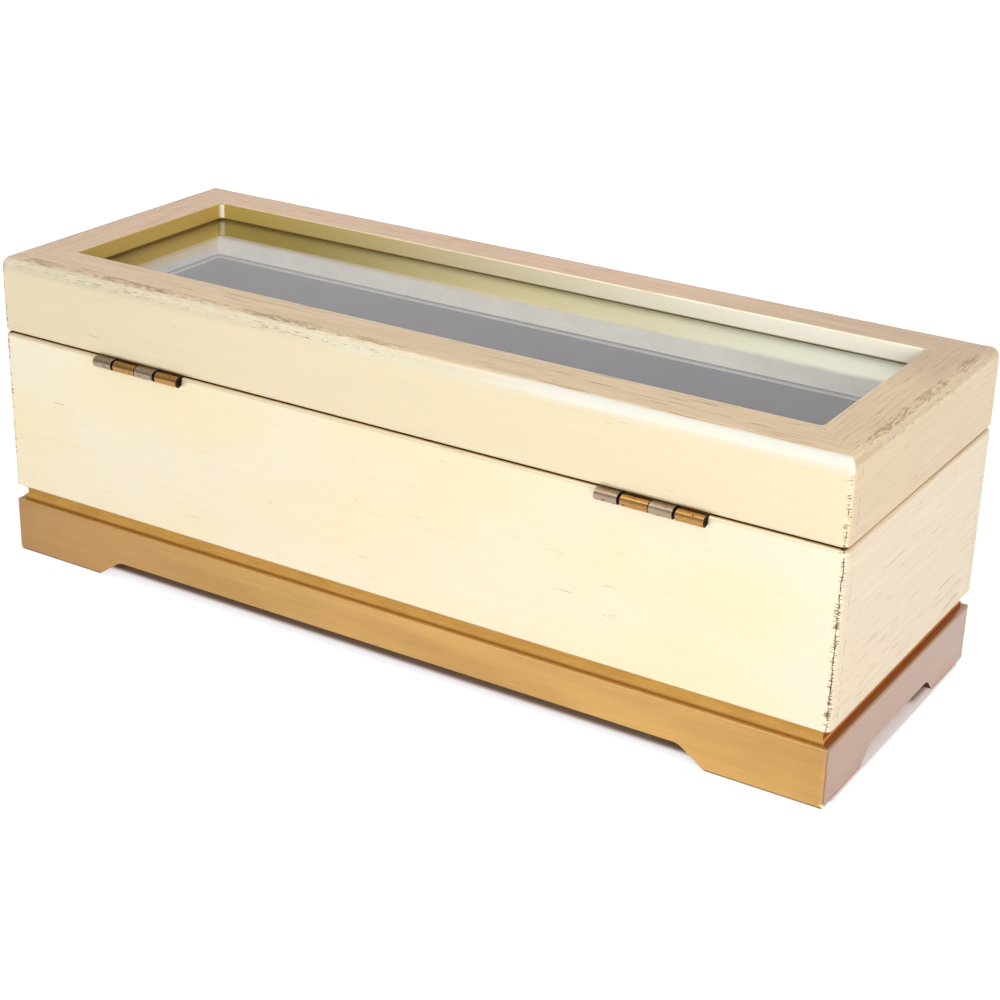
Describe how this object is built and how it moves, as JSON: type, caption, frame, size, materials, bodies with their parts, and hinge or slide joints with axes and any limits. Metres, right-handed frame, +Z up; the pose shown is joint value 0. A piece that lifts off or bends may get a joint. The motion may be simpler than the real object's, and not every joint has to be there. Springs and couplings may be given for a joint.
{
  "type": "cufflink display box",
  "caption": "Long wooden display box with a hinged glass-topped lid, a moulded bracket-foot plinth, and lined cells with cushions for cufflinks.",
  "frame": {"origin": "on the ground under the middle of the case", "axes": "+X along the case, +Y towards the hinges at the back, +Z up"},
  "size_m": [0.3, 0.1129, 0.105],
  "materials": {
    "champagne_leaf": "brushed champagne-gold paint over wood, satin sheen, fine grain scratches, dark wear on the edges",
    "ochre_gold": "ochre-gold paint over wood, satin, faint grain",
    "bare_wood": "unfinished softwood",
    "glass": "clear float glass",
    "glazing_tape": "thin dark double-sided tape",
    "suede_lining": "grey-violet suede cloth on card",
    "lid_lining": "pale grey suede cloth on card",
    "cushion_velvet": "soft grey-violet velvet",
    "hinge_brass": "antique grey-brown brass",
    "hinge_copper": "antique coppery brass",
    "hinge_steel_pin": "darkened steel wire"
  },
  "bodies": {
    "case": {"base_board": "ochre_gold", "bearer_back": "bare_wood", "bearer_front": "bare_wood", "case_back": "champagne_leaf", "case_front": "champagne_leaf", "case_left": "champagne_leaf", "case_liner_back": "suede_lining", "case_liner_front": "suede_lining", "case_liner_left": "suede_lining", "case_liner_right": "suede_lining", "case_right": "champagne_leaf", "cross_divider_1": "suede_lining", "cross_divider_2": "suede_lining", "cross_divider_3": "suede_lining", "cross_divider_4": "suede_lining", "cross_divider_5": "suede_lining", "cushion_1_1": "cushion_velvet", "cushion_1_2": "cushion_velvet", "cushion_1_3": "cushion_velvet", "cushion_1_4": "cushion_velvet", "cushion_1_5": "cushion_velvet", "cushion_1_6": "cushion_velvet", "cushion_2_1": "cushion_velvet", "cushion_2_2": "cushion_velvet", "cushion_2_3": "cushion_velvet", "cushion_2_4": "cushion_velvet", "cushion_2_5": "cushion_velvet", "cushion_2_6": "cushion_velvet", "hinge_case_screws": "hinge_brass", "hinge_left_case_leaf": "hinge_copper", "hinge_left_pin": "hinge_steel_pin", "hinge_right_case_leaf": "hinge_copper", "hinge_right_pin": "hinge_steel_pin", "insert_floor": "suede_lining", "long_divider_1": "suede_lining", "plinth_back": "ochre_gold", "plinth_front": "ochre_gold", "plinth_glue_blocks": "bare_wood", "plinth_left": "ochre_gold", "plinth_right": "ochre_gold"},
    "lid": {"hinge_left_lid_leaf": "hinge_brass", "hinge_lid_screws": "hinge_brass", "hinge_right_lid_leaf": "hinge_brass", "lid_back": "champagne_leaf", "lid_front": "champagne_leaf", "lid_glass": "glass", "lid_glazing_tape": "glazing_tape", "lid_left": "champagne_leaf", "lid_liner_back": "lid_lining", "lid_liner_front": "lid_lining", "lid_liner_left": "lid_lining", "lid_liner_right": "lid_lining", "lid_right": "champagne_leaf"}
  },
  "joints": [
    {"name": "lid_hinge", "type": "hinge", "parent": "case", "child": "lid", "pos_m": [0, 0.0562, 0.0775], "axis": [-1, 0, 0], "range_deg": [0, 100]}
  ]
}
